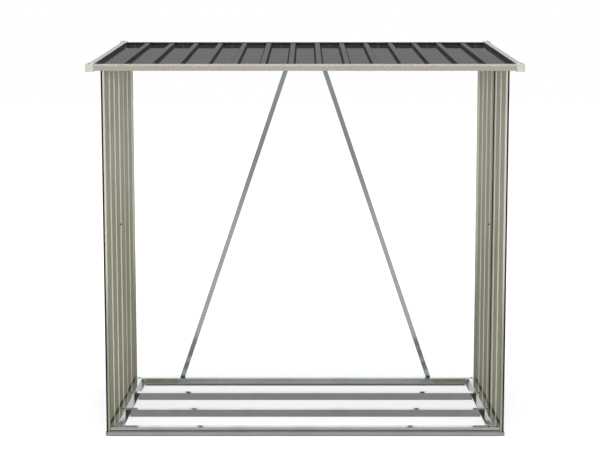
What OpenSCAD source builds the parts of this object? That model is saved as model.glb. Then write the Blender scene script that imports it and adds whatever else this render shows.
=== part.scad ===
// Log store: open steel frame, two ribbed side walls and a pent roof.
// Millimetres. +X right, +Y to the back, +Z up. Origin at the middle of the
// footprint, on the ground. The roof rises towards the back.

/* [Overall] */
// Roof width over the trims, left to right
roof_width = 1630; // [1200:10:2400]
// Roof depth over the trims, front to back
roof_depth = 830; // [600:10:1200]
// Height of the rear roof corners
overall_height = 1532; // [1000:1:2200]
// Roof slope in degrees, rising to the back
roof_pitch = 6.9; // [3:0.1:14]

/* [Base frame] */
// How far the roof stands past the base at the left and right
side_overhang = 44.5; // [44:0.5:90]
// How far the roof stands past the base at the front and back
eave_overhang = 47; // [44:0.5:90]
// Height of every rail above the ground
rail_height = 30; // [28:1:50]
// Height of the outer lip of a base rail
rail_lip = 15; // [8:1:20]
// Clear width of the groove that a wall stands in
rail_groove = 12; // [11.5:0.1:16]
// Width of the flat top of a base rail
rail_top = 25; // [18:1:40]
// Size of the bevel along the inner edge of a base rail's top
rail_bevel = 17; // [8:1:18]
// Height of the nose below that bevel
rail_nose = 2; // [2:0.5:4]
// How far the inner foot of a base rail stands back under the nose
rail_recess = 9; // [5:1:14]
// Sheet thickness of rails, braces and top frame
rail_t = 1.2; // [0.8:0.1:1.6]
// Gap between the ends of the front rail's body and a wall post
rail_corner_gap = 4; // [3.5:0.5:8]

/* [Floor rails] */
// Depth of a floor rail
floor_rail_depth = 25; // [18:1:40]
// Distance between the middles of the two floor rails
floor_rail_spacing = 232; // [160:1:320]
// Width of the bent tabs that hold a floor rail's ends
floor_rail_tab = 10; // [6:1:20]

/* [Walls] */
// Thickness of wall and roof sheet
sheet_t = 0.6; // [0.4:0.1:0.8]
// Depth of a wall rib
rib_height = 6; // [5:0.5:9.5]
// Width of a wall rib at its foot
rib_base = 28; // [26:1:40]
// Width of a wall rib at its top
rib_top = 22; // [12:1:23]
// Distance from rib to rib in a wall
wall_pitch = 112; // [90:1:118]
// How far the lapped rib of a wall stands behind the middle
wall_shift = 15; // [-20:1:20]
// How far the inner wall sheet laps over its neighbour past the rib
wall_flap = 60; // [10:1:66]
// How far the free edge of that lap springs off its neighbour
flap_lift = 4; // [1:0.5:8]

/* [Wall posts] */
// Thickness of a wall post, across the wall
post_width = 13.5; // [12.5:0.5:15]
// Depth of a wall post, along the wall
post_depth = 20; // [15:1:26]
// Width of the post's folded front strip
post_hem = 7; // [5:0.5:8]
// Sheet thickness of a post
post_t = 0.8; // [0.6:0.1:1]

/* [Roof sheets] */
// Height of a roof rib
roof_rib_height = 11; // [8:0.5:12]
// Width of a roof rib at its foot
roof_rib_base = 33; // [28:1:40]
// Width of a roof rib at its top
roof_rib_top = 19; // [10:1:22]
// Number of flat pans between the roof ribs
roof_pans = 15; // [9:2:21]
// Width of a verge rib's middle from the roof's side
verge_inset = 20; // [18:1:22]

/* [Trims and caps] */
// Height of the roof trim
trim_height = 22.5; // [22:0.5:28]
// Depth of the trim's top flange
trim_top = 28; // [24:1:29]
// Depth of the trim's bottom flange
trim_foot = 14; // [8:1:18]
// Size of the bevel along the trim's upper edge
trim_bevel = 5; // [3:0.5:7]
// Sheet thickness of a trim
trim_t = 1; // [0.6:0.1:1.2]
// Plan size of a corner cap
cap_size = 30; // [29.5:0.5:34]
// Height of a corner cap
cap_height = 30; // [29:0.5:34]
// Wall thickness of a corner cap
cap_t = 2; // [1.2:0.1:3]
// Radius of a corner cap's outer upright edge
cap_round = 6; // [2:0.5:9]

/* [Top frame] */
// Width of the top rails
top_rail_width = 25; // [18:1:34]
// Height of the front top rail's legs
front_leg = 15; // [12:1:18]
// Height of the rear top rail's legs
rear_leg = 31; // [20:1:44]
// Height of the side top rails' legs
side_leg = 13; // [8:1:14]

/* [Braces] */
// Width of a brace across its face
brace_width = 20; // [14:1:28]
// Depth of a brace's side flanges
brace_flange = 8; // [5:0.5:9.5]
// Distance of a brace's foot from the middle
brace_foot = 561; // [420:1:600]
// Distance of a brace's head from the middle
brace_head = 50; // [30:1:80]

/* [Clearances] */
// Working clearance between neighbouring pieces
fit = 0.2; // [0.1:0.05:0.3]

/* [Hidden] */
$fn = 48;
far = 4000;

steel = [0.60, 0.62, 0.60];
cream = [0.66, 0.63, 0.54];
slate = [0.20, 0.21, 0.22];
ivory = [0.82, 0.80, 0.74];

// Base frame, measured inwards from the outer face of a lip
half_x = roof_width / 2 - side_overhang;
half_y = roof_depth / 2 - eave_overhang;
upstand_out = rail_t + rail_groove;
upstand_in = upstand_out + rail_t;
bevel_head = upstand_out + rail_top;
nose_in = bevel_head + rail_bevel;
nose_face = nose_in + rail_t;
foot_in = nose_in - rail_recess;
top_under = rail_height - rail_t;
nose_z = top_under - rail_bevel - rail_nose;
rail_path = [[0, rail_lip], [0, 0], [upstand_in, 0], [upstand_in, top_under],
    [bevel_head, top_under], [nose_in, nose_z + rail_nose], [nose_in, nose_z],
    [foot_in, nose_z], [foot_in, 0]];
rail_foot_half_x = half_x - nose_face - fit;
rail_body_half_x = half_x - upstand_out - rail_corner_gap;
side_body_half_y = half_y - bevel_head - fit;
side_lip_half_y = half_y - rail_t - fit;

// Walls, measured inwards from their outer plane
wall_x = half_x - rail_t - fit;
wall_foot = rail_t + fit;
post_face_y = half_y - upstand_out;
wall_end_y = post_face_y - post_depth - fit;
lap = sheet_t + fit;
wall_inner_x = wall_x - rib_height - sheet_t - lap - flap_lift;

// Roof: the slab of trims and caps is built flat, then tilted about its lower front edge
slab_length = (roof_depth - cap_height * sin(roof_pitch)) / cos(roof_pitch);
slab_y = -roof_depth / 2 + cap_height * sin(roof_pitch);
slab_z = overall_height - slab_length * sin(roof_pitch) - cap_height * cos(roof_pitch);
trim_base = (cap_height - trim_height) / 2;
rib_crest = trim_base + trim_height - trim_t - fit - lap - sheet_t;
pan_under = rib_crest - roof_rib_height;
seat = pan_under - fit;
roof_span = roof_width - 2 * verge_inset;
roof_rib_pitch = roof_span / roof_pans;
sheet_inset = trim_t + fit + 0.5;

// Height of the wall and top-frame seat under the roof at a given depth
function seat_z(y) = slab_z + (y - slab_y) * tan(roof_pitch) + seat / cos(roof_pitch);

// A folded strip: a path thickened by t on its left, or on its right where t is negative
function unit(v) = v / norm(v);
function left_of(v) = [-v[1], v[0]];
function run_normal(p, i) = left_of(unit(p[i + 1] - p[i]));
function fold(p, i) =
    let (a = run_normal(p, max(i - 1, 0)), b = run_normal(p, min(i, len(p) - 2)))
    (a + b) / (1 + a * b);
function ribbon(p, t) =
    concat(p, [for (i = [len(p) - 1:-1:0]) p[i] + t * fold(p, i)]);

// One rib of a sheet as four points: foot, top, top, foot
function rib(c, base, top, low, high) = [[c - base / 2, low], [c - top / 2, high],
    [c + top / 2, high], [c + base / 2, low]];
function wall_rib(c) = rib(c, rib_base, rib_top, rib_height, 0);
function roof_rib(i) = rib(rib_x(i), roof_rib_base, roof_rib_top, pan_under, rib_crest);
function flatten(lists) = [for (l = lists) for (p = l) p];

module along_x(half) {
    translate([-half, 0, 0]) rotate([90, 0, 90]) linear_extrude(2 * half) children();
}

module along_y(from, to) {
    translate([0, to, 0]) rotate([90, 0, 0]) linear_extrude(to - from) children();
}

module on_roof() {
    translate([0, slab_y, slab_z]) rotate([roof_pitch, 0, 0]) children();
}

module above_seat() {
    on_roof() translate([-far / 2, -far / 2, seat]) cube([far, far, far]);
}

module flip_x() { mirror([1, 0, 0]) children(); }
module flip_y() { mirror([0, 1, 0]) children(); }
module turn() { rotate([0, 0, 180]) children(); }

// Base rails: outer lip, groove, upstand, flat top, bevel, nose and an inner foot set back
module rail_section() {
    polygon(ribbon(rail_path, rail_t));
}

module long_rail() {
    color(steel) difference() {
        translate([0, -half_y, 0]) along_x(half_x) rail_section();
        for (s = [0, 1]) mirror([s, 0, 0]) {
            translate([rail_foot_half_x, bevel_head - half_y, -1]) cube([far, far, far]);
            translate([rail_body_half_x, rail_t - half_y, -1]) cube([far, far, far]);
        }
    }
}

module short_rail() {
    color(steel) difference() {
        translate([-half_x, 0, 0]) along_y(-side_lip_half_y, side_lip_half_y) rail_section();
        for (s = [0, 1]) mirror([0, s, 0])
            translate([upstand_out - half_x, side_body_half_y, -1]) cube([far, far, far]);
    }
}

module base_front_rail() { long_rail(); }
module base_rear_rail() { flip_y() long_rail(); }
module base_left_rail() { short_rail(); }
module base_right_rail() { flip_x() short_rail(); }

// Floor rails: inverted channels cut to the bevel and nose of the side rails, with a tab bent
// outwards along each bevelled cut to lie on the bevel
bevel_skin = rail_t * sqrt(2);
bevel_end = half_x - bevel_head - bevel_skin - top_under - fit;
bevel_foot = rail_foot_half_x - bevel_end;
function on_bevel(z) = [bevel_end + z, z];

module floor_rail_channel() {
    d = floor_rail_depth / 2;
    right_end = [on_bevel(rail_height + 1), on_bevel(bevel_foot), [rail_foot_half_x, -1]];
    left_end = [for (i = [2:-1:0]) [-right_end[i][0], right_end[i][1]]];
    intersection() {
        along_x(half_x) polygon(ribbon([[-d, 0], [-d, rail_height], [d, rail_height], [d, 0]],
            -rail_t));
        along_y(-d - 1, d + 1) polygon(concat(right_end, left_end));
    }
}

module floor_rail_end_tab() {
    low = on_bevel(bevel_foot + rail_t);
    high = on_bevel(rail_height - rail_t);
    along_y(floor_rail_depth / 2 - rail_t, floor_rail_depth / 2 + floor_rail_tab)
        polygon([low, high, high - [bevel_skin, 0], low - [bevel_skin, 0]]);
}

module floor_rail(y) {
    color(steel) translate([0, y, 0]) {
        floor_rail_channel();
        for (s = [0, 1], t = [0, 1]) mirror([s, 0, 0]) mirror([0, t, 0]) floor_rail_end_tab();
    }
}

module floor_rail_front() { floor_rail(-floor_rail_spacing / 2); }
module floor_rail_rear() { floor_rail(floor_rail_spacing / 2); }

// Wall sheets in plan: x runs along the wall, y inwards from the outer plane, c is the lapped rib
function outer_sheet_path(c) = concat([[-wall_end_y, rib_height]],
    flatten([for (i = [-2, -1]) wall_rib(c + i * wall_pitch)]),
    [wall_rib(c)[0], wall_rib(c)[1], wall_rib(c)[2] - [1, 0]]);
function inner_sheet_path(c) = concat(
    [wall_rib(c)[0] + [-wall_flap, lap + flap_lift], wall_rib(c)[0] + [lap, lap],
        wall_rib(c)[1] + [lap * 1.5, lap], wall_rib(c)[2] + [0, lap], wall_rib(c)[3]],
    flatten([for (i = [1, 2]) wall_rib(c + i * wall_pitch)]),
    [[wall_end_y, rib_height]]);

module wall_sheet(path) {
    translate([wall_x, 0, wall_foot]) rotate([0, 0, 90])
        linear_extrude(overall_height) polygon(ribbon(path, sheet_t));
}

module wall_cut() {
    color(cream) difference() { children(); above_seat(); }
}

// The lapping sheet, its sprung flap cut short above the side rail's upstand
module lapped_wall_sheet(c) {
    difference() {
        wall_sheet(inner_sheet_path(c));
        translate([-far / 2, c - far - rib_base / 2, wall_foot - far])
            cube([far, far, far + rail_height + fit - wall_foot]);
    }
}

module right_wall_front_sheet() { wall_cut() wall_sheet(outer_sheet_path(wall_shift)); }
module right_wall_rear_sheet() { wall_cut() lapped_wall_sheet(wall_shift); }
module left_wall_front_sheet() { wall_cut() turn() lapped_wall_sheet(-wall_shift); }
module left_wall_rear_sheet() { wall_cut() turn() wall_sheet(outer_sheet_path(-wall_shift)); }

// Wall posts: folded channels, open to the front beside a hemmed strip
module post() {
    translate([wall_x, -post_face_y, wall_foot]) mirror([1, 0, 0])
        linear_extrude(overall_height) polygon(ribbon([[0, 0], [0, post_depth],
            [post_width, post_depth], [post_width, 0], [post_width - post_hem, 0],
            [post_width - post_hem, post_depth * 0.6]], -post_t));
}

module right_front_post() { wall_cut() post(); }
module right_rear_post() { wall_cut() flip_y() post(); }
module left_front_post() { wall_cut() flip_x() post(); }
module left_rear_post() { wall_cut() turn() post(); }

// Top frame: front and rear channels with sloping tops, and side angles between them
module eave_rail(y0, y1, leg) {
    color(steel) along_x(wall_x - post_width - fit) polygon(ribbon(
        [[y0, seat_z(y0) - leg], [y0, seat_z(y0)], [y1, seat_z(y1)], [y1, seat_z(y1) - leg]],
        -rail_t));
}

module side_top_rail() {
    x = wall_inner_x - fit;
    clear_y = post_face_y - top_rail_width - fit;
    color(steel) intersection() {
        on_roof() along_y(-far / 2, far / 2) polygon(ribbon(
            [[top_rail_width - x, seat], [-x, seat], [-x, seat - side_leg]], rail_t));
        translate([-far / 2, -clear_y, 0]) cube([far, 2 * clear_y, far]);
    }
}

module front_top_rail() { eave_rail(-post_face_y, top_rail_width - post_face_y, front_leg); }
module rear_top_rail() { eave_rail(post_face_y - top_rail_width, post_face_y, rear_leg); }
module left_top_rail() { side_top_rail(); }
module right_top_rail() { flip_x() side_top_rail(); }

// Braces: shallow channels from the rear rail's groove up to the rear top rail
module brace() {
    z0 = rail_t + fit;
    z1 = seat_z(post_face_y) - fit;
    lean = atan2(brace_foot - brace_head, z1 - z0);
    w = brace_width / 2;
    color(steel) intersection() {
        translate([-brace_foot, post_face_y + fit, z0]) rotate([0, lean, 0])
            translate([0, 0, -brace_width]) linear_extrude(far) polygon(ribbon(
                [[-w, brace_flange], [-w, 0], [w, 0], [w, brace_flange]], rail_t));
        translate([-far, 0, z0]) cube([2 * far, far, z1 - z0]);
    }
}

module left_brace() { brace(); }
module right_brace() { flip_x() brace(); }

// Roof sheets: ribs along the slope, lapped on the rib right of the middle
function rib_x(i) = (i + 0.5) * roof_rib_pitch;
last_rib = (roof_pans - 1) / 2;

function left_sheet_path() = concat(
    [for (p = [1:3]) roof_rib(-last_rib - 1)[p]],
    flatten([for (i = [-last_rib:-1]) roof_rib(i)]),
    [roof_rib(0)[0], roof_rib(0)[1], roof_rib(0)[2] - [1, 0]]);
function right_sheet_path() = concat(
    [roof_rib(0)[1] + [-1, lap], roof_rib(0)[2] + [0, lap], roof_rib(0)[3]],
    flatten([for (i = [1:last_rib - 1]) roof_rib(i)]),
    [for (p = [0:2]) roof_rib(last_rib)[p]]);

module roof_sheet(path) {
    corner = cap_size + fit;
    color(slate) on_roof() difference() {
        along_y(sheet_inset, slab_length - sheet_inset) polygon(ribbon(path, sheet_t));
        for (x = [-far - roof_width / 2 + corner, roof_width / 2 - corner],
             y = [corner - far, slab_length - corner])
            translate([x, y, 0]) cube([far, far, far]);
    }
}

module roof_sheet_left() { roof_sheet(left_sheet_path()); }
module roof_sheet_right() { roof_sheet(right_sheet_path()); }

// Roof trims: channels with a bevelled upper edge, laid over the ribs
module trim_section() {
    top = trim_base + trim_height;
    polygon(ribbon([[trim_top, top], [trim_bevel, top], [0, top - trim_bevel],
        [0, trim_base], [trim_foot, trim_base]], trim_t));
}

module eave_trim() { along_x(roof_width / 2 - cap_size - fit) trim_section(); }
module verge_trim() {
    translate([-roof_width / 2, 0, 0])
        along_y(cap_size + fit, slab_length - cap_size - fit) trim_section();
}
module to_rear() { translate([0, slab_length, 0]) flip_y() children(); }

module front_fascia() { color(ivory) on_roof() eave_trim(); }
module rear_fascia() { color(ivory) on_roof() to_rear() eave_trim(); }
module left_verge() { color(ivory) on_roof() verge_trim(); }
module right_verge() { color(ivory) on_roof() flip_x() verge_trim(); }

// Corner caps: hollow plastic hoods with one rounded upright edge
module cap_plan(s, r) {
    difference() {
        square(s);
        square(r);
    }
    translate([r, r]) intersection() {
        circle(r);
        translate([-r, -r]) square(r);
    }
}

module cap() {
    translate([-roof_width / 2, 0, 0]) difference() {
        linear_extrude(cap_height) cap_plan(cap_size, cap_round);
        translate([cap_t, cap_t, -1]) linear_extrude(cap_height + 1 - cap_t)
            square(cap_size - 2 * cap_t);
    }
}

module front_left_cap() { color(ivory) on_roof() cap(); }
module front_right_cap() { color(ivory) on_roof() flip_x() cap(); }
module rear_left_cap() { color(ivory) on_roof() to_rear() cap(); }
module rear_right_cap() { color(ivory) on_roof() to_rear() flip_x() cap(); }

base_front_rail();
base_rear_rail();
base_left_rail();
base_right_rail();
floor_rail_front();
floor_rail_rear();
left_wall_front_sheet();
left_wall_rear_sheet();
right_wall_front_sheet();
right_wall_rear_sheet();
left_front_post();
left_rear_post();
right_front_post();
right_rear_post();
front_top_rail();
rear_top_rail();
left_top_rail();
right_top_rail();
left_brace();
right_brace();
roof_sheet_left();
roof_sheet_right();
front_fascia();
rear_fascia();
left_verge();
right_verge();
front_left_cap();
front_right_cap();
rear_left_cap();
rear_right_cap();
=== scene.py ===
"""Looks of a steel log store: finishes, fixings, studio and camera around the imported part.

Metres, in the part's own frame: +X right, +Y to the back, +Z up, origin on the ground in the
middle of the footprint. The roof rises towards the back.
"""

from __future__ import annotations

import logging
import math
from dataclasses import dataclass, field
from enum import Enum
from typing import Sequence, Union

import bpy
import numpy as np
from mathutils import Euler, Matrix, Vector


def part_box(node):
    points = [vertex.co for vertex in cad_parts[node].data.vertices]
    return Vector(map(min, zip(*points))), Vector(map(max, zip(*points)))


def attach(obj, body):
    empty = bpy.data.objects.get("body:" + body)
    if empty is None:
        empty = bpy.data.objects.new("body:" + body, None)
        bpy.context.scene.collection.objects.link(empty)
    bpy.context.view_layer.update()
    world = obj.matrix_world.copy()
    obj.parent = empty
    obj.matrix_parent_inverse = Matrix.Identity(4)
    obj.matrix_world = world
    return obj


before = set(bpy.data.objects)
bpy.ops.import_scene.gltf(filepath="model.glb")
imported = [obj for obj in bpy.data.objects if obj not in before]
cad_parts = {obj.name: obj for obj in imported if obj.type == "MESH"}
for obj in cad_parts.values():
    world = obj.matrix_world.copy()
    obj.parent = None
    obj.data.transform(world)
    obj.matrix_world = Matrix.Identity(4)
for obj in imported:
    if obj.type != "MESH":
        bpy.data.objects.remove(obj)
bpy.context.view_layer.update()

MM = 0.001
WELD_GAP = 0.01 * MM
FOLD_ANGLE = math.radians(28)
BEND_STEPS = 2
LOG = logging.getLogger("log_store")

Colour = tuple[float, float, float]
Number = Union[float, int]


class Slot(Enum):
    """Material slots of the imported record."""

    GALVANISED = "galvanised"
    WALL = "wall_paint"
    ROOF = "roof_paint"
    TRIM = "trim_paint"
    CAP = "cap_plastic"


class Side(Enum):
    """A side wall, with the sign of its X."""

    LEFT = -1
    RIGHT = 1

    @property
    def word(self) -> str:
        """The side's name as the part's nodes spell it."""
        return self.name.lower()


class Field:
    """One output socket of a node tree, with arithmetic that adds Math nodes."""

    def __init__(self, graph: Graph, socket: bpy.types.NodeSocket) -> None:
        """Keeps the socket and the graph that it is in."""
        self.graph = graph
        self.socket = socket

    def _math(self, operation: str, first: Value, second: Value = 0.0) -> Field:
        """Adds one Math node.

        Args:
            operation: Blender's name for the operation.
            first: the upper input.
            second: the lower input.

        Returns:
            The node's result.
        """
        return self.graph.node("ShaderNodeMath", {"operation": operation}, {0: first, 1: second})

    def __add__(self, other: Value) -> Field:
        """self + other."""
        return self._math("ADD", self, other)

    def __radd__(self, other: Value) -> Field:
        """other + self."""
        return self._math("ADD", other, self)

    def __sub__(self, other: Value) -> Field:
        """self - other."""
        return self._math("SUBTRACT", self, other)

    def __rsub__(self, other: Value) -> Field:
        """other - self."""
        return self._math("SUBTRACT", other, self)

    def __mul__(self, other: Value) -> Field:
        """self * other."""
        return self._math("MULTIPLY", self, other)

    def __rmul__(self, other: Value) -> Field:
        """other * self."""
        return self._math("MULTIPLY", other, self)

    def __gt__(self, other: Value) -> Field:
        """1 where self is above other, 0 elsewhere."""
        return self._math("GREATER_THAN", self, other)

    def __lt__(self, other: Value) -> Field:
        """1 where self is below other, 0 elsewhere."""
        return self._math("LESS_THAN", self, other)

    def __abs__(self) -> Field:
        """The size of self without its sign."""
        return self._math("ABSOLUTE", self)

    def highest(self, other: Value) -> Field:
        """The larger of self and other."""
        return self._math("MAXIMUM", self, other)

    def ramp(self, low: Number, high: Number) -> Field:
        """A smooth step from 0 at low to 1 at high.

        Args:
            low: the value that gives 0.
            high: the value that gives 1.

        Returns:
            The stepped value.
        """
        settings = {"interpolation_type": "SMOOTHSTEP"}
        return self.graph.node("ShaderNodeMapRange", settings, {0: self, 1: low, 2: high})


Value = Union[Field, Number]
Input = Union[Field, Number, Sequence[float]]


class Graph:
    """A node tree that is filled through one method."""

    def __init__(self, tree: bpy.types.NodeTree) -> None:
        """Empties the tree and keeps it."""
        tree.nodes.clear()
        self.tree = tree

    def node(self, kind: str, settings: dict | None = None,
             inputs: dict[Union[int, str], Input] | None = None,
             output: Union[int, str] = 0) -> Field:
        """Adds one node.

        Args:
            kind: Blender's node type.
            settings: the node's own properties, set before its sockets are filled.
            inputs: values or fields for its input sockets, by index or name.
            output: the output socket that is handed back, by index or name.

        Returns:
            The chosen output, or the first input of a node with no output.
        """
        made = self.tree.nodes.new(kind)
        for name, value in (settings or {}).items():
            setattr(made, name, value)
        for key, value in (inputs or {}).items():
            if isinstance(value, Field):
                self.tree.links.new(value.socket, made.inputs[key])
            else:
                made.inputs[key].default_value = value
        return Field(self, made.outputs[output] if len(made.outputs) else made.inputs[0])

    def place(self) -> Field:
        """The point on the piece, in metres."""
        return self.node("ShaderNodeTexCoord", output="Object")

    def normal(self) -> Field:
        """The way the surface faces, in the piece's own frame."""
        return self.node("ShaderNodeTexCoord", output="Normal")

    def ray(self, kind: str) -> Field:
        """1 for rays of one kind, such as Camera or Glossy, and 0 for others."""
        return self.node("ShaderNodeLightPath", output=f"Is {kind} Ray")

    def white_light(self, strength: Value) -> Field:
        """A white emission of the given strength."""
        return self.node("ShaderNodeEmission", inputs={
            "Color": (1.0, 1.0, 1.0, 1.0), "Strength": strength})

    def part(self, vector: Field, axis: str) -> Field:
        """One of X, Y and Z of a vector."""
        return self.node("ShaderNodeSeparateXYZ", inputs={0: vector}, output=axis)

    def stretch(self, vector: Field, scale: Sequence[float]) -> Field:
        """A vector with each axis multiplied by its own factor."""
        return self.node("ShaderNodeVectorMath", {"operation": "MULTIPLY"},
                         {0: vector, 1: tuple(scale)})

    def noise(self, vector: Field, grain: float, detail: float = 3.0) -> Field:
        """Soft noise from 0 to 1.

        Args:
            vector: the point at which it is read.
            grain: the size of its patches in metres.
            detail: how many finer layers are added.

        Returns:
            The noise value.
        """
        return self.node("ShaderNodeTexNoise", inputs={
            "Vector": vector, "Scale": 1.0 / grain, "Detail": detail})

    def mix(self, share: Value, first: Input, second: Input) -> Field:
        """Two colours mixed.

        Args:
            share: how much of the second colour shows.
            first: a colour field or a colour of three numbers.
            second: a colour field or a colour of three numbers.

        Returns:
            The mixed colour.
        """
        first, second = (c if isinstance(c, Field) else (*c, 1.0) for c in (first, second))
        return self.node("ShaderNodeMix", {"data_type": "RGBA", "blend_type": "MIX"},
                         {0: share, 6: first, 7: second}, output=2)

    def bump(self, height: Field, distance: float) -> Field:
        """A normal bent by a height.

        Args:
            height: the height, from 0 to 1.
            distance: what a height of 1 measures, in metres.

        Returns:
            The bent normal.
        """
        return self.node("ShaderNodeBump", inputs={
            "Height": height, "Distance": distance, "Strength": 1.0})


def blank_material(name: str) -> tuple[bpy.types.Material, Graph]:
    """A new material with an empty node tree.

    Args:
        name: the material's name.

    Returns:
        The material and its graph.
    """
    material = bpy.data.materials.new(name)
    material.use_nodes = True
    return material, Graph(material.node_tree)


@dataclass(frozen=True)
class Finish:
    """What every finish has: a name, a colour, and how rough, metallic and shiny it is."""

    name: str
    colour: Colour
    roughness: float
    metallic: float = 0.0
    specular: float = 0.5

    def surface(self, graph: Graph) -> dict[str, Input]:
        """The Principled inputs that vary over the surface; each finish gives its own.

        Args:
            graph: the material's node tree.

        Returns:
            Fields by the name of the Principled socket that they feed.
        """
        raise NotImplementedError

    def material(self) -> bpy.types.Material:
        """Makes the Blender material.

        Returns:
            The finished material.
        """
        material, graph = blank_material(self.name)
        inputs: dict[Union[int, str], Input] = {
            "Base Color": (*self.colour, 1.0),
            "Roughness": self.roughness,
            "Metallic": self.metallic,
            "Specular IOR Level": self.specular,
        }
        inputs.update(self.surface(graph))
        shader = graph.node("ShaderNodeBsdfPrincipled", inputs=inputs)
        graph.node("ShaderNodeOutputMaterial", inputs={"Surface": shader})
        return material


@dataclass(frozen=True)
class Galvanised(Finish):
    """Bright zinc: small crystals that differ a little in tone and gloss, with faint water marks.

    Painted shade darkens the base rails' inner feet below the nose that stands over them, a
    painted contact shadow runs along the foot of their outer lips, and a dull grey low in the
    grooves is painted shade. Faces that look forwards or backwards carry painted shade, by a
    share that each finish gives.
    """

    dirt: Colour = (0.11, 0.11, 0.10)
    dirt_top: float = 8.8 * MM
    dirt_zone: tuple[float, float] = (0.300, 0.345)
    dirt_least: float = 0.75
    dirt_varies: float = 0.3
    splash: float = 0.0
    splash_facing: tuple[float, float] = (0.5, 0.9)
    lip_out: tuple[float, float] = (0.7700, 0.3675)
    lip_dirt: float = 0.8
    lip_dirt_fade: tuple[float, float] = (1.35 * MM, 4.5 * MM)
    silt: Colour = (0.20, 0.205, 0.20)
    silt_share: float = 0.8
    silt_dulls: float = 0.5
    silt_top: float = 16 * MM
    groove_y: tuple[float, float] = (0.3545, 0.3670)
    groove_x: tuple[float, float] = (0.7570, 0.7695)
    bright: float = 1.18
    dull: float = 0.55
    mean_tone: float = 0.72
    crystal: float = 9 * MM
    crystal_tone: float = 0.05
    crystal_relief: float = 0.010
    grain: float = 1.2 * MM
    grain_tone: float = 0.04
    grain_relief: float = 0.004
    mark_size: float = 0.11
    mark_edge: tuple[float, float] = (0.42, 0.72)
    mark_tone: float = 0.09
    mark_dulls: float = 0.06
    uneven_gloss: float = 0.03
    wave_size: float = 0.16
    waviness: float = 0.35 * MM

    def dirty(self, graph: Graph, place: Field, wander: Field) -> Field:
        """The share of painted shade under the nose, along the foot of the lips and on faces fore and
        aft.

        Args:
            graph: the material's node tree.
            place: the point on the piece.
            wander: slow noise that makes the painted shade uneven.

        Returns:
            The largest of the three shares at that point.
        """
        side, depth = (abs(graph.part(place, axis)) for axis in "XY")
        height = graph.part(place, "Z")
        inner_foot = (depth > self.dirt_zone[0]) * (depth < self.dirt_zone[1])
        uneven = wander * self.dirt_varies + self.dirt_least
        # painted shade below the nose, over the rails' inner feet
        under_nose = inner_foot * (height < self.dirt_top) * uneven
        lip = (side > self.lip_out[0]).highest(depth > self.lip_out[1])
        # painted contact shadow along the foot of the outer lips
        lip_foot = lip * (1.0 - height.ramp(*self.lip_dirt_fade)) * self.lip_dirt
        # painted shade on faces that look forwards or backwards
        facing = abs(graph.part(graph.normal(), "Y")).ramp(*self.splash_facing)
        return under_nose.highest(facing * self.splash).highest(lip_foot)

    def silted(self, graph: Graph, place: Field) -> Field:
        """The share of painted shade, a dull grey, low in the grooves that the walls and braces stand
        in.

        Args:
            graph: the material's node tree.
            place: the point on the piece.

        Returns:
            The share of silt at that point.
        """
        side, depth = (abs(graph.part(place, axis)) for axis in "XY")
        # painted shade: a dull grey low in the grooves
        long_groove = (depth > self.groove_y[0]) * (depth < self.groove_y[1])
        short_groove = (side > self.groove_x[0]) * (side < self.groove_x[1])
        low = graph.part(place, "Z") < self.silt_top
        return long_groove.highest(short_groove) * low * self.silt_share

    def surface(self, graph: Graph) -> dict[str, Input]:
        """Crystals as the cells of a Voronoi pattern, marks as soft noise, and slow waves.

        Args:
            graph: the material's node tree.

        Returns:
            Colour, share of bare metal, roughness and normal of the zinc.
        """
        place = graph.place()
        wander = graph.noise(place, 4 * self.crystal, 2.0)
        cells = graph.node("ShaderNodeTexVoronoi", inputs={
            "Vector": place, "Scale": 1.0 / self.crystal}, output="Color")
        crystal = graph.node("ShaderNodeSeparateColor", inputs={0: cells}, output="Red")
        marks = graph.noise(place, self.mark_size, 5.0).ramp(*self.mark_edge)
        grain = graph.noise(place, self.grain, 1.0)
        waves = graph.noise(place, self.wave_size, 1.0)
        sparkle = (crystal - 0.5) * self.crystal_tone + (grain - 0.5) * self.grain_tone
        bright = tuple(c * self.bright for c in self.colour)
        dull = tuple(c * self.dull for c in self.colour)
        zinc = graph.mix(sparkle - marks * self.mark_tone + self.mean_tone, dull, bright)
        # painted shade mixed into the zinc: under the nose, along the lips' feet and on faces fore
        # and aft
        zinc_shaded = graph.mix(self.dirty(graph, place, wander), zinc, self.dirt)
        silted = self.silted(graph, place)
        gloss = ((crystal + wander) * self.uneven_gloss + marks * self.mark_dulls
                 + (self.roughness - self.uneven_gloss))
        relief = waves + crystal * self.crystal_relief + grain * self.grain_relief
        return {
            # painted shade in the grooves over the zinc
            "Base Color": graph.mix(silted, zinc_shaded, self.silt),
            "Metallic": 1.0 - silted,
            "Roughness": silted * self.silt_dulls + gloss,
            "Normal": graph.bump(relief, self.waviness),
        }


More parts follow.
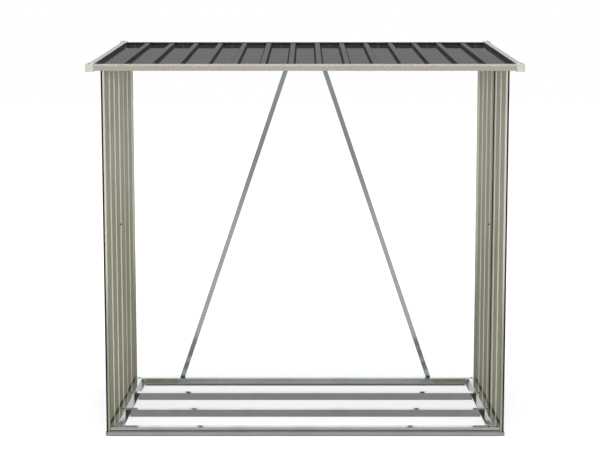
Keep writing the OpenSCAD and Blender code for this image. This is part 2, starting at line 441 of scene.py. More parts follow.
@dataclass(frozen=True)
class SatinPaint(Finish):
    """Stoved paint on sheet: orange peel, slow dents in the sheet, dust and a few scuffs."""

    dust: Colour = (0.46, 0.43, 0.36)
    dust_share: float = 0.16
    dust_dulls: float = 0.9
    patch_size: float = 0.19
    patch_edge: tuple[float, float] = (0.40, 0.78)
    patch_share: float = 0.7
    streak_size: float = 9 * MM
    streak_stretch: tuple[float, float, float] = (1.0, 1.0, 0.06)
    streak_edge: tuple[float, float] = (0.5, 0.8)
    streak_share: float = 0.3
    scuff_size: float = 6 * MM
    scuff_stretch: tuple[float, float, float] = (0.2, 0.2, 1.0)
    scuff_edge: tuple[float, float] = (0.68, 0.76)
    scuff_share: float = 0.35
    scuff_dulls: float = 0.08
    speck_size: float = 3 * MM
    speck_tone: float = 0.10
    speck_shade: float = 0.06
    peel: float = 0.02 * MM
    peel_size: float = 2.2 * MM
    dent: float = 0.4 * MM
    dent_size: float = 0.14

    def coat_colour(self, graph: Graph, place: Field) -> Input:
        """The paint's colour before dust and scuffs."""
        return self.colour

    def surface(self, graph: Graph) -> dict[str, Input]:
        """Dust in slow patches, scuffs as thin stretched noise, peel and dents as bump.

        Args:
            graph: the material's node tree.

        Returns:
            Colour, roughness and normal of the paint.
        """
        place = graph.place()
        patches = graph.noise(place, self.patch_size, 5.0).ramp(*self.patch_edge)
        specks = graph.noise(place, self.speck_size, 2.0)
        down = graph.stretch(place, self.streak_stretch)
        streaks = graph.noise(down, self.streak_size, 2.0).ramp(*self.streak_edge)
        across = graph.stretch(place, self.scuff_stretch)
        scuffs = graph.noise(across, self.scuff_size, 2.0).ramp(*self.scuff_edge)
        dusty = (patches * self.patch_share + streaks * self.streak_share) * self.dust_share
        paint = graph.mix(dusty, self.coat_colour(graph, place), self.dust)
        specked = (specks - 0.5) * self.speck_tone + self.speck_shade
        shaded = graph.mix(specked, paint, (0.0, 0.0, 0.0))
        dents = graph.noise(place, self.dent_size, 1.0)
        peel = graph.noise(place, self.peel_size, 1.0)
        return {
            "Base Color": graph.mix(scuffs * self.scuff_share, shaded, self.dust),
            "Roughness": dusty * self.dust_dulls + scuffs * self.scuff_dulls + self.roughness,
            "Normal": graph.bump(dents + peel * (self.peel / self.dent), self.dent),
        }


@dataclass(frozen=True)
class TwoCoatSheet(SatinPaint):
    """Sheet with one coat towards the log bay and another outside, and bare zinc at cut edges.

    Its foot, where it stands in the base rail's groove, is darkened with painted shade, and so is the
    part behind a neighbour's flap. Rib flanks and the upper wall carry a painted highlight.
    """

    outside: Colour = (0.05, 0.052, 0.055)
    rolled: Colour = (0.78, 0.76, 0.68)
    bare: Colour = (0.42, 0.43, 0.42)
    stain: Colour = (0.035, 0.033, 0.026)
    stain_top: float = 40 * MM
    stain_fade: float = 4 * MM
    stain_ragged: float = 14 * MM
    flat_stain: float = 0.75
    least_stain: float = 0.1
    lap_stain: float = 0.9
    flank_turn: tuple[float, float] = (0.55, 0.85)
    flat_turn: tuple[float, float] = (0.6, 0.9)
    edge_turn: float = 0.2
    shelter_rise: tuple[float, float] = (0.8, 1.3)
    shelter_share: float = 0.25
    lap_rib_y: float = 0.015
    lap_zone: tuple[float, float] = (-0.0745, -0.0135)
    covered_x: float = 762.1 * MM

    def under_lap(self, graph: Graph, place: Field) -> Field:
        """1 where a sheet lies behind its neighbour's sprung flap, 0 elsewhere.

        Args:
            graph: the material's node tree.
            place: the point on the piece.

        Returns:
            The share of painted shade behind the lap there.
        """
        x = graph.part(place, "X")
        sign = (x > 0.0) * 2.0 - 1.0
        along = (graph.part(place, "Y") - self.lap_rib_y) * sign
        covered = (along > self.lap_zone[0]) * (along < self.lap_zone[1])
        return covered * (abs(x) > self.covered_x)

    def coat_colour(self, graph: Graph, place: Field) -> Input:
        """The bay coat where a face looks at the middle of the store, by X times normal X.

        On the ribs' flanks the bay coat is paler, a painted highlight, and a little paler towards the
        top, a painted highlight too. Behind the lap and at the foot it is darkened with painted
        shade.

        Args:
            graph: the material's node tree.
            place: the point on the piece.

        Returns:
            The colour of the coat at that face.
        """
        normal_x = graph.part(graph.normal(), "X")
        height = graph.part(place, "Z")
        outward = normal_x * graph.part(place, "X")
        # painted highlight: the coat a little paler towards the top
        upper_highlight = height.ramp(*self.shelter_rise) * self.shelter_share
        # painted highlight on the ribs' flanks
        flank = 1.0 - abs(normal_x).ramp(*self.flank_turn)
        bay = graph.mix(flank.highest(upper_highlight), self.colour, self.rolled)
        coats = graph.mix(outward > 0.0, bay, self.outside)
        edged = graph.mix(abs(normal_x) < self.edge_turn, coats, self.bare)
        # painted shade at the sheet's foot, in the rail's groove
        ragged = graph.noise(place, self.stain_ragged, 3.0) * self.stain_fade
        above_foot_shade = (height + ragged).ramp(self.stain_top - self.stain_fade,
                                     self.stain_top + self.stain_fade)
        flat = abs(normal_x).ramp(*self.flat_turn) * self.flat_stain + self.least_stain
        # painted shade behind a neighbour's flap
        lap_shaded = self.under_lap(graph, place) * self.lap_stain
        return graph.mix(((1.0 - above_foot_shade) * flat).highest(lap_shaded), edged, self.stain)


@dataclass(frozen=True)
class RoofSheet(SatinPaint):
    """Roof sheet: glossy on pans and rib tops, rougher on the flanks, which are darker as painted
    shade.

    The underside keeps the pale coat that such sheet has on its back.
    """

    flank: Colour = (0.016, 0.016, 0.017)
    underside: Colour = (0.90, 0.94, 0.94)
    underside_turn: float = -0.05
    flank_turn: tuple[float, float] = (0.25, 0.55)
    flank_roughness: float = 0.62

    def steepness(self, graph: Graph) -> Field:
        """1 on a rib's flank and 0 on a pan or a rib's top, by the normal's X."""
        return abs(graph.part(graph.normal(), "X")).ramp(*self.flank_turn)

    def coat_colour(self, graph: Graph, place: Field) -> Input:
        """The dark coat above, darker on the flanks as painted shade, and the pale coat below, by the
        normal's Z.

        Args:
            graph: the material's node tree.
            place: the point on the piece; not used.

        Returns:
            The colour of the coat at that face.
        """
        # painted shade on the ribs' flanks
        above = graph.mix(self.steepness(graph), self.colour, self.flank)
        below = graph.part(graph.normal(), "Z") < self.underside_turn
        return graph.mix(below, above, self.underside)

    def surface(self, graph: Graph) -> dict[str, Input]:
        """The painted sheet with rougher flanks.

        Args:
            graph: the material's node tree.

        Returns:
            Colour, roughness and normal of the paint.
        """
        inputs = super().surface(graph)
        dull = self.steepness(graph) * (self.flank_roughness - self.roughness)
        return {**inputs, "Roughness": inputs["Roughness"] + dull}


@dataclass(frozen=True)
class PostSheet(SatinPaint):
    """A folded post: the bay coat on its inner half, the dark coat outside and in its groove, where
    it is partly painted shade.

    The lower part of the bay coat is darker towards the ground.
    """

    outside: Colour = (0.05, 0.052, 0.055)
    splashed: Colour = (0.33, 0.32, 0.255)
    splash_rise: tuple[float, float] = (0.33, 0.74)
    groove_x: float = 0.763

    def coat_colour(self, graph: Graph, place: Field) -> Input:
        """The bay coat nearer the middle than the groove, darker towards the ground.

        Args:
            graph: the material's node tree.
            place: the point on the piece.

        Returns:
            The colour of the coat at that point.
        """
        upper_share = graph.part(place, "Z").ramp(*self.splash_rise)
        bay = graph.mix(upper_share, self.splashed, self.colour)
        # the dark coat from the groove outwards; in the groove it also serves as painted shade
        return graph.mix(abs(graph.part(place, "X")) > self.groove_x, bay, self.outside)


@dataclass(frozen=True)
class TrimSheet(SatinPaint):
    """Folded trim: a pale coat outside with a painted highlight on top, and painted shade, dark
    olive, on its inner side.
    """

    bleached: Colour = (0.47, 0.465, 0.44)
    bleached_turn: tuple[float, float] = (0.85, 0.97)
    inside: Colour = (0.045, 0.044, 0.034)
    inside_turn: float = -0.15

    def coat_colour(self, graph: Graph, place: Field) -> Input:
        """A painted highlight on top, and painted shade where a face looks at the roof's middle in
        plan.

        Args:
            graph: the material's node tree.
            place: the point on the piece.

        Returns:
            The colour of the coat at that face.
        """
        normal = graph.normal()
        outward = (graph.part(normal, "X") * graph.part(place, "X")
                   + graph.part(normal, "Y") * graph.part(place, "Y"))
        # painted highlight on the top faces
        top = graph.part(normal, "Z").ramp(*self.bleached_turn)
        pale = graph.mix(top, self.colour, self.bleached)
        # painted shade on the faces that look inwards
        return graph.mix(outward < self.inside_turn, pale, self.inside)


@dataclass(frozen=True)
class MouldedPlastic(Finish):
    """Fine-grained moulded plastic with slow changes of tone."""

    tone_size: float = 0.02
    tone_share: float = 0.6
    shade: float = 0.78
    grain: float = 0.8 * MM
    grain_relief: float = 0.06 * MM
    grain_dulls: float = 0.16

    def surface(self, graph: Graph) -> dict[str, Input]:
        """Tone from slow noise, grain as bump and as a little roughness.

        Args:
            graph: the material's node tree.

        Returns:
            Colour, roughness and normal of the plastic.
        """
        place = graph.place()
        slow = graph.noise(place, self.tone_size, 4.0)
        grain = graph.noise(place, self.grain, 2.0)
        shade = tuple(c * self.shade for c in self.colour)
        return {
            "Base Color": graph.mix(slow * self.tone_share, self.colour, shade),
            "Roughness": grain * self.grain_dulls + (self.roughness - self.grain_dulls / 2),
            "Normal": graph.bump(grain, self.grain_relief),
        }


@dataclass(frozen=True)
class FixingSteel(Finish):
    """Plated fixings with rubbed edges and dark plating in patches."""

    worn: Colour = (0.35, 0.33, 0.29)
    worn_size: float = 3 * MM
    worn_edge: tuple[float, float] = (0.5, 0.75)
    worn_share: float = 0.5
    grain: float = 0.6 * MM
    grain_relief: float = 0.05 * MM
    grain_dulls: float = 0.2

    def surface(self, graph: Graph) -> dict[str, Input]:
        """Plating rubbed through where soft noise is high.

        Args:
            graph: the material's node tree.

        Returns:
            Colour, roughness and normal of the plating.
        """
        place = graph.place()
        rubbed = graph.noise(place, self.worn_size, 3.0).ramp(*self.worn_edge)
        grain = graph.noise(place, self.grain, 2.0)
        return {
            "Base Color": graph.mix(rubbed * self.worn_share, self.colour, self.worn),
            "Roughness": grain * self.grain_dulls + (self.roughness - self.grain_dulls / 2),
            "Normal": graph.bump(grain, self.grain_relief),
        }


ZINC = Galvanised("bright_galvanised", (0.75, 0.79, 0.785), 0.09, metallic=1.0)
# zinc with painted shade on faces that look forwards or backwards
FACE_SHADED_ZINC = Galvanised("face_shaded_galvanised", (0.75, 0.79, 0.77), 0.09, metallic=1.0,
                           splash=0.30)
BAY_COAT = TwoCoatSheet("wall_sheet_two_coats", (0.55, 0.53, 0.365), 0.48, specular=0.3)
POST_COAT = PostSheet("post_sheet_two_coats", (0.62, 0.60, 0.51), 0.48, specular=0.3)
ANTHRACITE = RoofSheet("anthracite_roof_paint", (0.040, 0.041, 0.042), 0.06,
                       dust=(0.10, 0.10, 0.097), dust_share=0.14, dust_dulls=0.2,
                       peel=0.004 * MM, dent=0.2 * MM)
PAINTED_SCREW = MouldedPlastic("anthracite_screw_paint", (0.060, 0.061, 0.062), 0.45)
IVORY = TrimSheet("ivory_trim_paint", (0.37, 0.35, 0.297), 0.30, dust=(0.34, 0.32, 0.27),
                  dust_share=0.12, peel=0.002 * MM, dent=0.05 * MM)
CAP_IVORY = MouldedPlastic("ivory_cap_plastic", (0.60, 0.575, 0.51), 0.48)
DARK_FIXING = FixingSteel("dark_plated_fixing", (0.060, 0.055, 0.048), 0.42, metallic=0.8)
BROWNED_FIXING = FixingSteel("browned_fixing", (0.20, 0.15, 0.11), 0.46, metallic=0.6)
BRIGHT_FIXING = FixingSteel("bright_plated_fixing", (0.42, 0.42, 0.40), 0.32, metallic=1.0)
SEAL = MouldedPlastic("black_rubber_seal", (0.03, 0.03, 0.03), 0.7)


@dataclass(frozen=True)
class Turned:
    """A small turned or hexagonal thing: stations of a profile carried round an axis.

    Station k is a ring of radius radii[k] at height heights[k] above the seat. Where corners[k]
    is 1 the ring is a hexagon whose flats lie radii[k] from the axis: the radius at angle a is
    then the flat's distance over the cosine of the angle to the nearest flat. Both ends close
    on one point.
    """

    radii: tuple[float, ...]
    heights: tuple[float, ...]
    corners: tuple[float, ...]
    sides: int = 12

    def points(self) -> np.ndarray:
        """The rings' points, with the lower and upper pole last.

        Returns:
            An array of points by three coordinates.
        """
        angle = np.arange(self.sides) * 2 * np.pi / self.sides
        to_flat = np.mod(angle, np.pi / 3) - np.pi / 6
        hexed = 1 / np.cos(to_flat)
        corner = np.array(self.corners)[:, None]
        radius = np.array(self.radii)[:, None] * (1 + corner * (hexed - 1))
        height = np.broadcast_to(np.array(self.heights)[:, None], radius.shape)
        rings = np.stack([radius * np.cos(angle), radius * np.sin(angle), height], axis=-1)
        poles = np.array([[0, 0, self.heights[0]], [0, 0, self.heights[-1]]], float)
        return np.concatenate([rings.reshape(-1, 3), poles])

    def faces(self) -> tuple[np.ndarray, np.ndarray]:
        """Quads between neighbouring rings, and triangles from the end rings to the poles.

        Returns:
            The quads and the triangles, as indices into points().
        """
        side = np.arange(self.sides)
        step = np.roll(side, -1)
        ring = np.arange(len(self.radii) - 1)[:, None] * self.sides
        quads = np.stack([ring + side, ring + step, ring + step + self.sides,
                          ring + side + self.sides], axis=-1).reshape(-1, 4)
        last = (len(self.radii) - 1) * self.sides
        low = last + self.sides
        fan = np.full(self.sides, low)
        lower = np.stack([step, side, fan], axis=-1)
        upper = np.stack([last + side, last + step, fan + 1], axis=-1)
        return quads, np.concatenate([lower, upper])

    def copies(self, name: str, seats: np.ndarray, axes: np.ndarray) -> bpy.types.Object:
        """Joins one copy for each seat into a single mesh object.

        Each copy's own Z is turned to its axis, by a frame made from cross products, and moved
        to its seat, for all copies at once.

        Args:
            name: the piece's name.
            seats: where each copy's seat lies, by three coordinates.
            axes: the way each copy points, by three coordinates.

        Returns:
            The new object.
        """
        axis = axes / np.linalg.norm(axes, axis=1, keepdims=True)
        helper = np.where(np.abs(axis[:, 2:]) > 0.9, np.array([1.0, 0, 0]), np.array([0, 0, 1.0]))
        first = np.cross(helper, axis)
        first /= np.linalg.norm(first, axis=1, keepdims=True)
        turn = np.stack([first, np.cross(axis, first), axis], axis=1)
        base = self.points()
        spread = np.einsum("pk,nkc->npc", base, turn) + seats[:, None, :]
        shift = (np.arange(len(seats)) * len(base))[:, None, None]
        quads, fans = self.faces()
        faces = (quads + shift).reshape(-1, 4).tolist() + (fans + shift).reshape(-1, 3).tolist()
        mesh = bpy.data.meshes.new(name)
        mesh.from_pydata(spread.reshape(-1, 3), [], faces)
        mesh.update()
        made = bpy.data.objects.new(name, mesh)
        bpy.context.scene.collection.objects.link(made)
        return made


BOLT = Turned(
    radii=(2.6 * MM, 6.4 * MM, 6.6 * MM, 6.0 * MM, 4.0 * MM, 4.0 * MM, 3.4 * MM),
    heights=(0, 0, 0.7 * MM, 1.3 * MM, 1.6 * MM, 4.3 * MM, 5.0 * MM),
    corners=(0, 0, 0, 0, 1, 1, 0))
NUT = Turned(
    radii=(2.6 * MM, 6.2 * MM, 6.2 * MM, 4.0 * MM, 4.0 * MM, 2.4 * MM, 2.4 * MM, 1.9 * MM),
    heights=(0, 0, 1.0 * MM, 1.0 * MM, 4.6 * MM, 4.6 * MM, 9.4 * MM, 10.0 * MM),
    corners=(0, 0, 0, 1, 1, 0, 0, 0))
DOME = Turned(
    radii=(2.6 * MM, 6.0 * MM, 5.9 * MM, 5.0 * MM, 3.2 * MM, 1.2 * MM),
    heights=(0, 0, 0.3 * MM, 1.0 * MM, 1.5 * MM, 1.7 * MM),
    corners=(0, 0, 0, 0, 0, 0))
PAN_SCREW = Turned(
    radii=(1.8 * MM, 3.9 * MM, 4.0 * MM, 3.2 * MM, 1.7 * MM, 1.4 * MM, 0.8 * MM),
    heights=(0, 0, 0.8 * MM, 2.1 * MM, 2.6 * MM, 1.5 * MM, 1.2 * MM),
    corners=(0, 0, 0, 0, 0, 1, 1))
SEAL_RING = Turned(
    radii=(2.0 * MM, 7.6 * MM, 8.0 * MM, 7.2 * MM, 2.0 * MM),
    heights=(0, 0, 0.8 * MM, 1.6 * MM, 1.6 * MM),
    corners=(0, 0, 0, 0, 0))


def centred(count: int, pitch: float) -> np.ndarray:
    """Places in a row at one pitch, with the middle of the row at 0."""
    return (np.arange(count) - (count - 1) / 2) * pitch


@dataclass
class Wardrobe:
    """The scene's materials, each made once."""

    made: dict[str, bpy.types.Material] = field(default_factory=dict)

    def get(self, finish: Finish) -> bpy.types.Material:
        """The material of a finish.

        Args:
            finish: the finish that is wanted.

        Returns:
            Its material, made on first use.
        """
        if finish.name not in self.made:
            self.made[finish.name] = finish.material()
        return self.made[finish.name]

    def dress(self, piece: bpy.types.Object, finish: Finish, slot: Slot) -> None:
        """Gives a piece its finish and reports it.

        Args:
            piece: the piece that is dressed.
            finish: its finish.
            slot: the record's slot for it; not used.
        """
        piece.data.materials.clear()
        piece.data.materials.append(self.get(finish))
        LOG.info("%s: %s", piece.name, finish.name)


@dataclass
class Assembly:
    """A group of the part's nodes with the fixings that hold it."""

    wardrobe: Wardrobe

    def nodes(self, finish: Finish, slot: Slot, names: Sequence[str], bend: float = 0.0) -> None:
        """Dresses nodes of the part, and rounds their folds where bend is given.

        Args:
            finish: their finish.
            slot: the record's slot for it.
            names: the nodes' names.
            bend: the width of the rounding along folds, in metres.
        """
        for name in names:
            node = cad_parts[name]
            self.wardrobe.dress(node, finish, slot)
            if bend:
                weld = node.modifiers.new("closed_skin", "WELD")
                weld.merge_threshold = WELD_GAP
                soft = node.modifiers.new("bend_radius", "BEVEL")
                soft.width = bend
                soft.segments = BEND_STEPS
                soft.limit_method = "ANGLE"
                soft.angle_limit = FOLD_ANGLE
                soft.use_clamp_overlap = True

    def fixings(self, name: str, shape: Turned, seats: Sequence[Sequence[float]],
                axes: Sequence[Sequence[float]], finish: Finish, slot: Slot) -> None:
        """Adds a set of like fixings as one piece.

        Args:
            name: the piece's name.
            shape: the fixing.
            seats: where each one sits.
            axes: the way each one points, or one way for all.
            finish: their finish.
            slot: the record's slot for it.
        """
        seat = np.array(seats, float)
        axis = np.broadcast_to(np.array(axes, float), seat.shape)
        piece = shape.copies(name, seat, axis)
        self.wardrobe.dress(piece, finish, slot)
        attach(piece, "root")


@dataclass
class BaseFrame(Assembly):
    """Four base rails and two floor rails, with the bolts at the corners and rail ends."""

    bolt_x: float = 0.744
    corner_y: float = 0.342
    rail_top: float = 0.030
    rail_bend: float = 0.5 * MM

    def build(self) -> None:
        """Seats a bolt at each corner and one at each end of a floor rail."""
        corners = [(x, y, self.rail_top) for x in (-self.bolt_x, self.bolt_x)
                   for y in (-self.corner_y, self.corner_y)]
        ends = []
        for rail in ("floor_rail_front", "floor_rail_rear"):
            low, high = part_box(rail)
            ends += [(x, (low.y + high.y) / 2, self.rail_top) for x in (-self.bolt_x, self.bolt_x)]
        self.fixings("base_corner_bolts", DOME, corners, (0, 0, 1), BROWNED_FIXING,
                     Slot.GALVANISED)
        self.fixings("floor_rail_bolts", DOME, ends, (0, 0, 1), BROWNED_FIXING, Slot.GALVANISED)

    def dress(self) -> None:
        """Zinc on every rail, with painted shade on the floor rails' faces fore and aft."""
        rails = [f"base_{place}_rail" for place in ("front", "rear", "left", "right")]
        self.nodes(ZINC, Slot.GALVANISED, rails, self.rail_bend)
        self.nodes(FACE_SHADED_ZINC, Slot.GALVANISED, ["floor_rail_front", "floor_rail_rear"],
                   self.rail_bend)


@dataclass
class SideWall(Assembly):
    """Two lapped ribbed sheets between a front and a rear post, with bolts at half height."""

    side: Side = Side.LEFT
    bolt_height: float = 0.771
    lap_rib_y: float = 0.015
    lap_skin: float = 1.4 * MM
    post_bolt_inset: float = 10 * MM
    foot_screw_height: float = 8 * MM
    rib_pitch: float = 0.112
    rib_count: int = 5

    def build(self) -> None:
        """Seats bolts through posts and lapped rib, and screws through the rail's lip into ribs."""
        sign = self.side.value
        word = self.side.word
        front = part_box(f"{word}_front_post")
        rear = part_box(f"{word}_rear_post")
        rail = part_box(f"base_{word}_rail")
        post_face = min(abs(front[0].x), abs(front[1].x))
        outer = max(abs(front[0].x), abs(front[1].x))
        depths = (front[0].y + self.post_bolt_inset, self.lap_rib_y,
                  rear[1].y - self.post_bolt_inset)
        nut = (sign * (outer - self.lap_skin), self.lap_rib_y, self.bolt_height)
        inner = [(sign * post_face, y, self.bolt_height) for y in (depths[0], depths[2])]
        heads = [(sign * outer, y, self.bolt_height) for y in depths]
        self.fixings(f"{word}_lap_nut", NUT, [nut], (-sign, 0, 0), DARK_FIXING, Slot.GALVANISED)
        self.fixings(f"{word}_post_bolts", DOME, inner, (-sign, 0, 0), BRIGHT_FIXING,
                     Slot.GALVANISED)
        self.fixings(f"{word}_wall_bolts", DOME, heads, (sign, 0, 0), BRIGHT_FIXING,
                     Slot.GALVANISED)
        lip = max(abs(rail[0].x), abs(rail[1].x))
        ribs = centred(self.rib_count, self.rib_pitch) + self.lap_rib_y
        screws = [(sign * lip, y, self.foot_screw_height) for y in ribs]
        self.fixings(f"{word}_foot_screws", PAN_SCREW, screws, (sign, 0, 0), BRIGHT_FIXING,
                     Slot.GALVANISED)

    def dress(self) -> None:
        """Two coats on the sheets and posts."""
        word = self.side.word
        self.nodes(BAY_COAT, Slot.WALL, [f"{word}_wall_front_sheet", f"{word}_wall_rear_sheet"])
        self.nodes(POST_COAT, Slot.WALL, [f"{word}_front_post", f"{word}_rear_post"])


@dataclass
class TopFrame(Assembly):
    """The four rails under the roof."""

    def dress(self) -> None:
        """Zinc on every top rail."""
        self.nodes(ZINC, Slot.GALVANISED,
                   [f"{place}_top_rail" for place in ("front", "rear", "left", "right")])


@dataclass
class RearBraces(Assembly):
    """Two braces in an inverted V behind the bay, bolted at foot and head."""

    foot_x: float = 0.561
    head_x: float = 0.050
    end_inset: float = 0.016
    web_thickness: float = 1.2 * MM
    fold_bend: float = 2.5 * MM

    def build(self) -> None:
        """Seats a bolt in the channel of each brace, near its foot and near its head."""
        low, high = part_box("left_brace")
        lean = (self.foot_x - self.head_x) / (high.z - low.z)
        web = low.y + self.web_thickness
        seats = [(side.value * (self.foot_x - lean * (z - low.z)), web, z) for side in Side
                 for z in (low.z + self.end_inset, high.z - self.end_inset)]
        self.fixings("brace_bolts", BOLT, seats, (0, 1, 0), BRIGHT_FIXING, Slot.GALVANISED)

    def dress(self) -> None:
        """Zinc on both braces."""
        self.nodes(ZINC, Slot.GALVANISED, ["left_brace", "right_brace"], self.fold_bend)


@dataclass
class PentRoof(Assembly):
    """Two lapped roof sheets, four trims and four corner caps, with their screws.

    A place on the roof is (x, v, w): v runs up the slope from the lower front edge, w stands
    off the slope.
    """

    pitch: float = math.radians(6.9)
    front_edge: tuple[float, float] = (-0.4114, 1.4022)
    slope_length: float = 0.8324
    pan_top: float = 13.25 * MM
    cap_top: float = 30 * MM
    cap_screw_inset: float = 14 * MM
    screw_rows: tuple[float, ...] = (0.069, 0.757)
    screw_columns: int = 8
    screw_pitch: float = 0.212
    seal_height: float = 1.4 * MM
    trim_bend: float = 0.4 * MM
    cap_bend: float = 1.2 * MM

    def on_slope(self, x: float, v: float, w: float) -> tuple[float, float, float]:
        """The point in the part's frame of a place on the roof.

        Args:
            x: the place to the right.
            v: the way up the slope from the lower front edge.
            w: the height off the slope.

        Returns:
            X, Y and Z of the point.
        """
        y, z = self.front_edge
        rise, run = math.sin(self.pitch), math.cos(self.pitch)
        return x, y + v * run - w * rise, z + v * rise + w * run

    def build(self) -> None:
        """Seats sealed screws in every second pan over the eave rails, and a screw in each cap."""
        up = (0.0, -math.sin(self.pitch), math.cos(self.pitch))
        columns = centred(self.screw_columns, self.screw_pitch)
        pans = [(x, v) for v in self.screw_rows for x in columns]
        seals = [self.on_slope(x, v, self.pan_top) for x, v in pans]
        screws = [self.on_slope(x, v, self.pan_top + self.seal_height) for x, v in pans]
        self.fixings("roof_screw_seals", SEAL_RING, seals, up, SEAL, Slot.ROOF)
        self.fixings("roof_screws", BOLT, screws, up, PAINTED_SCREW, Slot.ROOF)
        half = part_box("roof_sheet_right")[1].x
        reach = max(half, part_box("right_verge")[1].x) - self.cap_screw_inset
        ends = (self.cap_screw_inset, self.slope_length - self.cap_screw_inset)
        caps = [self.on_slope(x, v, self.cap_top) for x in (-reach, reach) for v in ends]
        self.fixings("cap_screws", PAN_SCREW, caps, up, BRIGHT_FIXING, Slot.GALVANISED)

    def dress(self) -> None:
        """Anthracite on the sheets, ivory paint on the trims and ivory plastic on the caps."""
        self.nodes(ANTHRACITE, Slot.ROOF, ["roof_sheet_left", "roof_sheet_right"])
        self.nodes(IVORY, Slot.TRIM, ["front_fascia", "rear_fascia", "left_verge", "right_verge"],
                   self.trim_bend)
        caps = [f"{end}_{side.word}_cap" for end in ("front", "rear") for side in Side]
        self.nodes(CAP_IVORY, Slot.CAP, caps, self.cap_bend)


@dataclass(frozen=True)
class Softbox:
    """A soft rectangular lamp, in watts, that gloss doesn't see."""

    name: str
    place: tuple[float, float, float]
    aim: tuple[float, float, float]
    size: tuple[float, float]
    power: float

    def build(self) -> None:
        """Makes the lamp and turns it to the point that it faces."""
        light = bpy.data.lights.new(self.name, "AREA")
        light.shape = "RECTANGLE"
        light.size, light.size_y = self.size
        light.energy = self.power
        lamp = bpy.data.objects.new(self.name, light)
        lamp.location = self.place
        toward = Vector(self.aim) - Vector(self.place)
        lamp.rotation_euler = toward.to_track_quat("-Z", "Y").to_euler()
        lamp.visible_glossy = False
        bpy.context.scene.collection.objects.link(lamp)


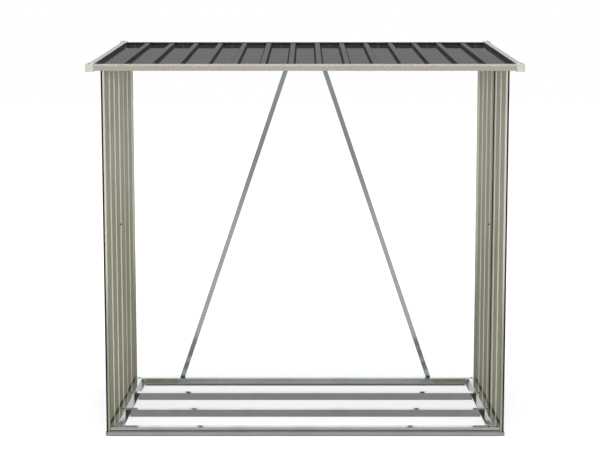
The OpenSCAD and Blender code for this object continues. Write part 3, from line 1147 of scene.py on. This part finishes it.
@dataclass
class Studio:
    """A pale floor, two soft lamps, a low white backdrop and a surround that gloss sees grey."""

    lamps: tuple[Softbox, ...] = (
        Softbox("front_softbox", (0.0, -5.4, 1.35), (0.0, 0.0, 1.0), (1.8, 1.6), 190.0),
        Softbox("top_softbox", (0.0, -0.3, 4.6), (0.0, 0.0, 0.0), (4.0, 3.0), 170.0))
    floor_half: float = 40.0
    floor_grey: float = 0.6
    floor_lift: float = 0.65
    lift_reach: tuple[float, float] = (1.0, 4.0)
    floor_bay: float = 0.37
    bay_edge: tuple[float, float] = (0.34, 0.46)
    floor_front: float = 0.48
    floor_far: float = 0.31
    far_reach: tuple[float, float] = (4.0, 10.0)
    ambient: float = 0.28
    gloss_low: float = 0.35
    low_turn: tuple[float, float] = (0.02, 0.12)
    gloss_front: float = 0.08
    gloss_back: float = 0.255
    back_turn: tuple[float, float] = (-0.75, 0.15)
    backdrop_y: float = 2.6
    backdrop_half: float = 5.0
    backdrop_height: float = 1.3
    band_foot: tuple[float, float] = (0.1, 0.8)
    band_head: float = 0.95

    def build(self) -> None:
        """Makes the floor, the backdrop, the lamps and the surround."""
        self.floor()
        self.backdrop()
        for lamp in self.lamps:
            lamp.build()
        self.surround()

    def sheet(self, name: str, corners: np.ndarray, material: bpy.types.Material) -> None:
        """Adds one flat sheet of the studio.

        Args:
            name: the sheet's name.
            corners: its four corners in turn.
            material: its material.
        """
        mesh = bpy.data.meshes.new(name)
        mesh.from_pydata(corners, [], [(0, 1, 2, 3)])
        mesh.materials.append(material)
        made = bpy.data.objects.new(name, mesh)
        bpy.context.scene.collection.objects.link(made)

    def floor(self) -> None:
        """A flat sheet that keeps its shade, lifted to white for the camera; to gloss it glows a grey
        with painted shade under the bay, a painted pool of light in front and a painted fall-off far
        away.
        """
        material, graph = blank_material("pale_floor")
        place = graph.place()
        away = graph.node("ShaderNodeVectorMath", {"operation": "LENGTH"}, {0: place},
                          output="Value")
        shade = graph.node("ShaderNodeBsdfDiffuse",
                           inputs={"Color": (*(self.floor_grey,) * 3, 1.0)})
        seen = graph.ray("Camera").highest(graph.ray("Transmission"))
        rise = away.ramp(*self.lift_reach) * (1.0 - self.floor_lift) + self.floor_lift
        both = graph.node("ShaderNodeAddShader", inputs={0: shade, 1: graph.white_light(seen * rise)})
        clear_of_bay = abs(graph.part(place, "Y")).ramp(*self.bay_edge)
        far = away.ramp(*self.far_reach)
        # grey seen by gloss: painted shade under the bay, a painted pool of light in front, a painted
        # fall-off far away
        grey = (clear_of_bay * (self.floor_front - self.floor_bay)
                - far * (self.floor_front - self.floor_far) + self.floor_bay)
        either = graph.node("ShaderNodeMixShader", inputs={
            0: graph.ray("Glossy"), 1: both, 2: graph.white_light(grey)})
        graph.node("ShaderNodeOutputMaterial", inputs={"Surface": either})
        turn = np.array([[-1, -1, 0], [1, -1, 0], [1, 1, 0], [-1, 1, 0]], float)
        self.sheet("studio_floor", turn * self.floor_half, material)

    def backdrop(self) -> None:
        """A low screen behind the store, white in a soft band, which only gloss sees."""
        material, graph = blank_material("white_backdrop")
        clear = graph.node("ShaderNodeBsdfTransparent")
        height = graph.part(graph.place(), "Z")
        fade = height.ramp(self.band_head, self.backdrop_height)
        band = height.ramp(*self.band_foot) * (1.0 - fade)
        white = graph.white_light(band * (1.0 - self.floor_far) + self.floor_far)
        either = graph.node("ShaderNodeMixShader", inputs={
            0: graph.ray("Glossy"), 1: clear, 2: white})
        graph.node("ShaderNodeOutputMaterial", inputs={"Surface": either})
        turn = np.array([[-1, 0, 0], [1, 0, 0], [1, 0, 1], [-1, 0, 1]], float)
        size = np.array([self.backdrop_half, 0.0, self.backdrop_height])
        self.sheet("studio_backdrop", turn * size + [0.0, self.backdrop_y, 0.0], material)

    def surround(self) -> None:
        """White to the camera; to gloss a grey, lighter low down and darker in front above."""
        world = bpy.data.worlds.new("white_surround")
        world.use_nodes = True
        bpy.context.scene.world = world
        graph = Graph(world.node_tree)
        camera = graph.ray("Camera")
        gloss = graph.ray("Glossy").highest(graph.ray("Transmission"))
        toward = graph.node("ShaderNodeTexCoord", output="Generated")
        behind = graph.part(toward, "Y").ramp(*self.back_turn)
        high = behind * (self.gloss_back - self.gloss_front) + self.gloss_front
        low = 1.0 - graph.part(toward, "Z").ramp(*self.low_turn)
        grey = high + low * (self.gloss_low - high)
        plain = (1.0 - camera) * (1.0 - gloss)
        strength = camera + gloss * grey + plain * self.ambient
        shade = graph.node("ShaderNodeBackground", inputs={
            "Color": (1.0, 1.0, 1.0, 1.0), "Strength": strength})
        graph.node("ShaderNodeOutputWorld", inputs={"Surface": shade})


@dataclass
class PhotoCamera:
    """A camera at the photograph's place, for a frame of 600 by 450."""

    place: tuple[float, float, float] = (0.0042, -4.6335, 1.4358)
    tilt_down: float = math.radians(5.5)
    focal_px: float = 1134.3
    frame_px: float = 600.0
    sensor: float = 36.0
    shift: tuple[float, float] = (-0.0104, -0.0883)
    reach: float = 200.0

    def build(self) -> None:
        """Makes the camera and hands it to the scene."""
        data = bpy.data.cameras.new("photo_camera")
        data.sensor_width = self.sensor
        data.lens = self.focal_px / self.frame_px * self.sensor
        data.shift_x, data.shift_y = self.shift
        data.clip_end = self.reach
        camera = bpy.data.objects.new("photo_camera", data)
        camera.location = self.place
        camera.rotation_euler = Euler((math.pi / 2 - self.tilt_down, 0.0, 0.0))
        bpy.context.scene.collection.objects.link(camera)
        bpy.context.scene.camera = camera


def main() -> None:
    """Builds camera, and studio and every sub-assembly."""
    logging.basicConfig(level=logging.INFO, format="%(name)s: %(message)s")
    bpy.context.scene.view_settings.view_transform = "Standard"
    PhotoCamera().build()
    Studio().build()
    wardrobe = Wardrobe()
    base = BaseFrame(wardrobe)
    walls = [SideWall(wardrobe, side) for side in Side]
    braces = RearBraces(wardrobe)
    roof = PentRoof(wardrobe)
    for assembly in (base, *walls, braces, roof):
        assembly.build()
    for assembly in (base, *walls, TopFrame(wardrobe), braces, roof):
        assembly.dress()


if __name__ == "__main__":
    main()
